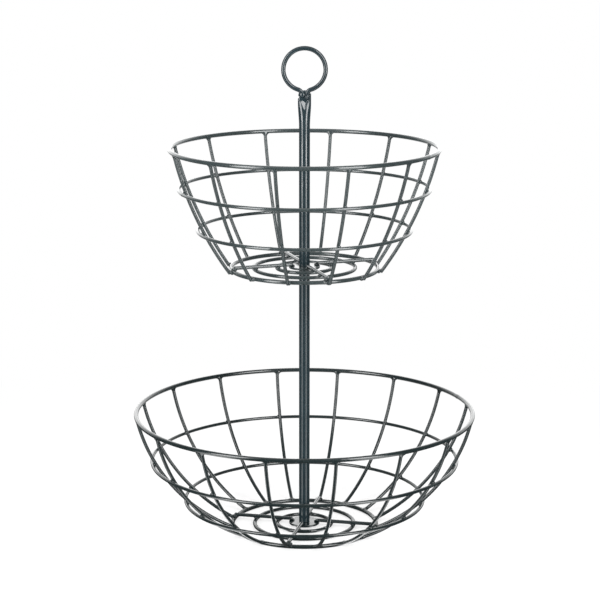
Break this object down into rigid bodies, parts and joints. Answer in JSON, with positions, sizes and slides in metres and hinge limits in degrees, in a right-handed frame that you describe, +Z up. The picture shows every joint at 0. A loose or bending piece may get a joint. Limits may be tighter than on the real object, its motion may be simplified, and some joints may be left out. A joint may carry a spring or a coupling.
{
  "type": "tiered wire basket",
  "caption": "Tiered wire basket: round welded wire bowls of two sizes one above the other on a central tube pole with a ring handle on top.",
  "frame": {"origin": "centre of the foot ring on the plane that the basket stands on", "axes": "+Z up along the pole, -Y towards the front, +X to the right seen from the front"},
  "size_m": [0.3, 0.3, 0.4266],
  "materials": {
    "wire_paint": "semi-gloss",
    "pole_paint": "semi-gloss",
    "plated_steel": "zinc-plated"
  },
  "bodies": {
    "lower_basket": {"lower_rim": "wire_paint", "lower_hoop_high": "wire_paint", "lower_hoop_low": "wire_paint", "lower_foot_ring": "wire_paint", "lower_base_ring_outer": "wire_paint", "lower_base_ring_inner": "wire_paint", "lower_hub_disc": "wire_paint", "lower_rib_01": "wire_paint", "lower_rib_02": "wire_paint", "lower_rib_03": "wire_paint", "lower_rib_04": "wire_paint", "lower_rib_05": "wire_paint", "lower_rib_06": "wire_paint", "lower_rib_07": "wire_paint", "lower_rib_08": "wire_paint", "lower_rib_09": "wire_paint", "lower_rib_10": "wire_paint", "lower_rib_11": "wire_paint", "lower_rib_12": "wire_paint", "lower_rib_13": "wire_paint", "lower_rib_14": "wire_paint", "lower_rib_15": "wire_paint", "lower_rib_16": "wire_paint", "lower_spoke_1": "wire_paint", "lower_spoke_2": "wire_paint", "lower_spoke_3": "wire_paint", "lower_spoke_4": "wire_paint"},
    "pole": {"lower_tube": "pole_paint", "upper_tube": "pole_paint", "ring_handle": "pole_paint", "lower_tube_bottom_insert": "plated_steel", "lower_tube_top_insert": "plated_steel", "upper_tube_insert": "plated_steel", "joining_stud": "plated_steel", "base_screw": "plated_steel"},
    "upper_basket": {"upper_rim": "wire_paint", "upper_hoop_high": "wire_paint", "upper_hoop_low": "wire_paint", "upper_foot_ring": "wire_paint", "upper_base_ring_outer": "wire_paint", "upper_base_ring_inner": "wire_paint", "upper_hub_disc": "wire_paint", "upper_rib_01": "wire_paint", "upper_rib_02": "wire_paint", "upper_rib_03": "wire_paint", "upper_rib_04": "wire_paint", "upper_rib_05": "wire_paint", "upper_rib_06": "wire_paint", "upper_rib_07": "wire_paint", "upper_rib_08": "wire_paint", "upper_rib_09": "wire_paint", "upper_rib_10": "wire_paint", "upper_rib_11": "wire_paint", "upper_rib_12": "wire_paint", "upper_spoke_1": "wire_paint", "upper_spoke_2": "wire_paint", "upper_spoke_3": "wire_paint", "upper_spoke_4": "wire_paint"}
  },
  "joints": [
    {"name": "pole_turn", "type": "hinge", "parent": "lower_basket", "child": "pole", "pos_m": [0, 0, 0.0036], "axis": [0, 0, 1], "continuous": true},
    {"name": "upper_tier_turn", "type": "hinge", "parent": "pole", "child": "upper_basket", "pos_m": [0, 0, 0.2364], "axis": [0, 0, 1], "continuous": true}
  ]
}
